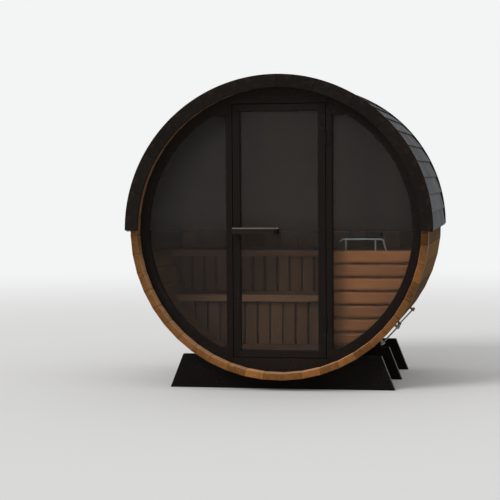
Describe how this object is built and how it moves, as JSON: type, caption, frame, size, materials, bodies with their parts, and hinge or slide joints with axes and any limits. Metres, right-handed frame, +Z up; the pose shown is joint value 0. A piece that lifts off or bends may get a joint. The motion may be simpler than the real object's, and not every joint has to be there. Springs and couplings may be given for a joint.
{
  "type": "barrel sauna",
  "caption": "Outdoor barrel sauna of wooden staves on cradles, with a shingled upper half, a glazed front, a hinged glass door and two-tier benches inside.",
  "frame": {"origin": "on the ground, under the middle of the barrel", "axes": "+Z up, +Y along the barrel from the glazed front to the rear, +X to the right seen from the front"},
  "size_m": [2.1126, 1.6, 2.1563],
  "materials": {
    "stained_wood": "brown stained softwood, satin",
    "light_wood": "planed, untreated",
    "dark_wood": "dark brown stain, satin",
    "shingles": "mineral granules on bitumen, matte",
    "stainless_steel": "brushed",
    "tinted_glass": "toughened, grey tint",
    "dark_steel": "dark powder coat"
  },
  "bodies": {
    "barrel": {"staves_1": "stained_wood", "staves_2": "stained_wood", "staves_3": "stained_wood", "staves_4": "stained_wood", "staves_5": "stained_wood", "staves_6": "stained_wood", "hoops": "stainless_steel", "tension_rods": "stainless_steel", "cradle_front": "dark_wood", "cradle_middle": "dark_wood", "cradle_rear": "dark_wood", "roof_left": "shingles", "roof_right": "shingles", "roof_ridge": "shingles", "fascia_front": "dark_wood", "fascia_rear": "dark_wood", "front_header": "dark_wood", "front_sill": "dark_wood", "front_posts": "dark_wood", "door_stops": "dark_wood", "front_arc_left": "dark_wood", "front_arc_right": "dark_wood", "side_glass_left": "tinted_glass", "side_glass_right": "tinted_glass", "rear_wall": "stained_wood", "floor_slats": "light_wood", "floor_runners": "light_wood", "bench_upper_seat": "light_wood", "bench_lower_seat": "light_wood", "bench_nosings": "light_wood", "bench_supports": "light_wood", "bench_upper_skirt": "light_wood", "bench_lower_skirt": "light_wood", "guard_slats": "light_wood", "guard_posts": "light_wood", "guard_rail": "stainless_steel", "hinges_frame": "dark_steel", "bench_skirt_rails": "light_wood"},
    "door": {"door_stile_hinge": "dark_wood", "door_stile_handle": "dark_wood", "door_rails": "dark_wood", "door_glass": "tinted_glass", "door_handle": "light_wood", "hinges_door": "dark_steel", "door_handle_blocks": "dark_wood"}
  },
  "joints": [
    {"name": "door_hinge", "type": "hinge", "parent": "barrel", "child": "door", "pos_m": [0.3225, -0.6865, 1.1], "axis": [0, 0, 1], "range_deg": [0, 110]}
  ]
}
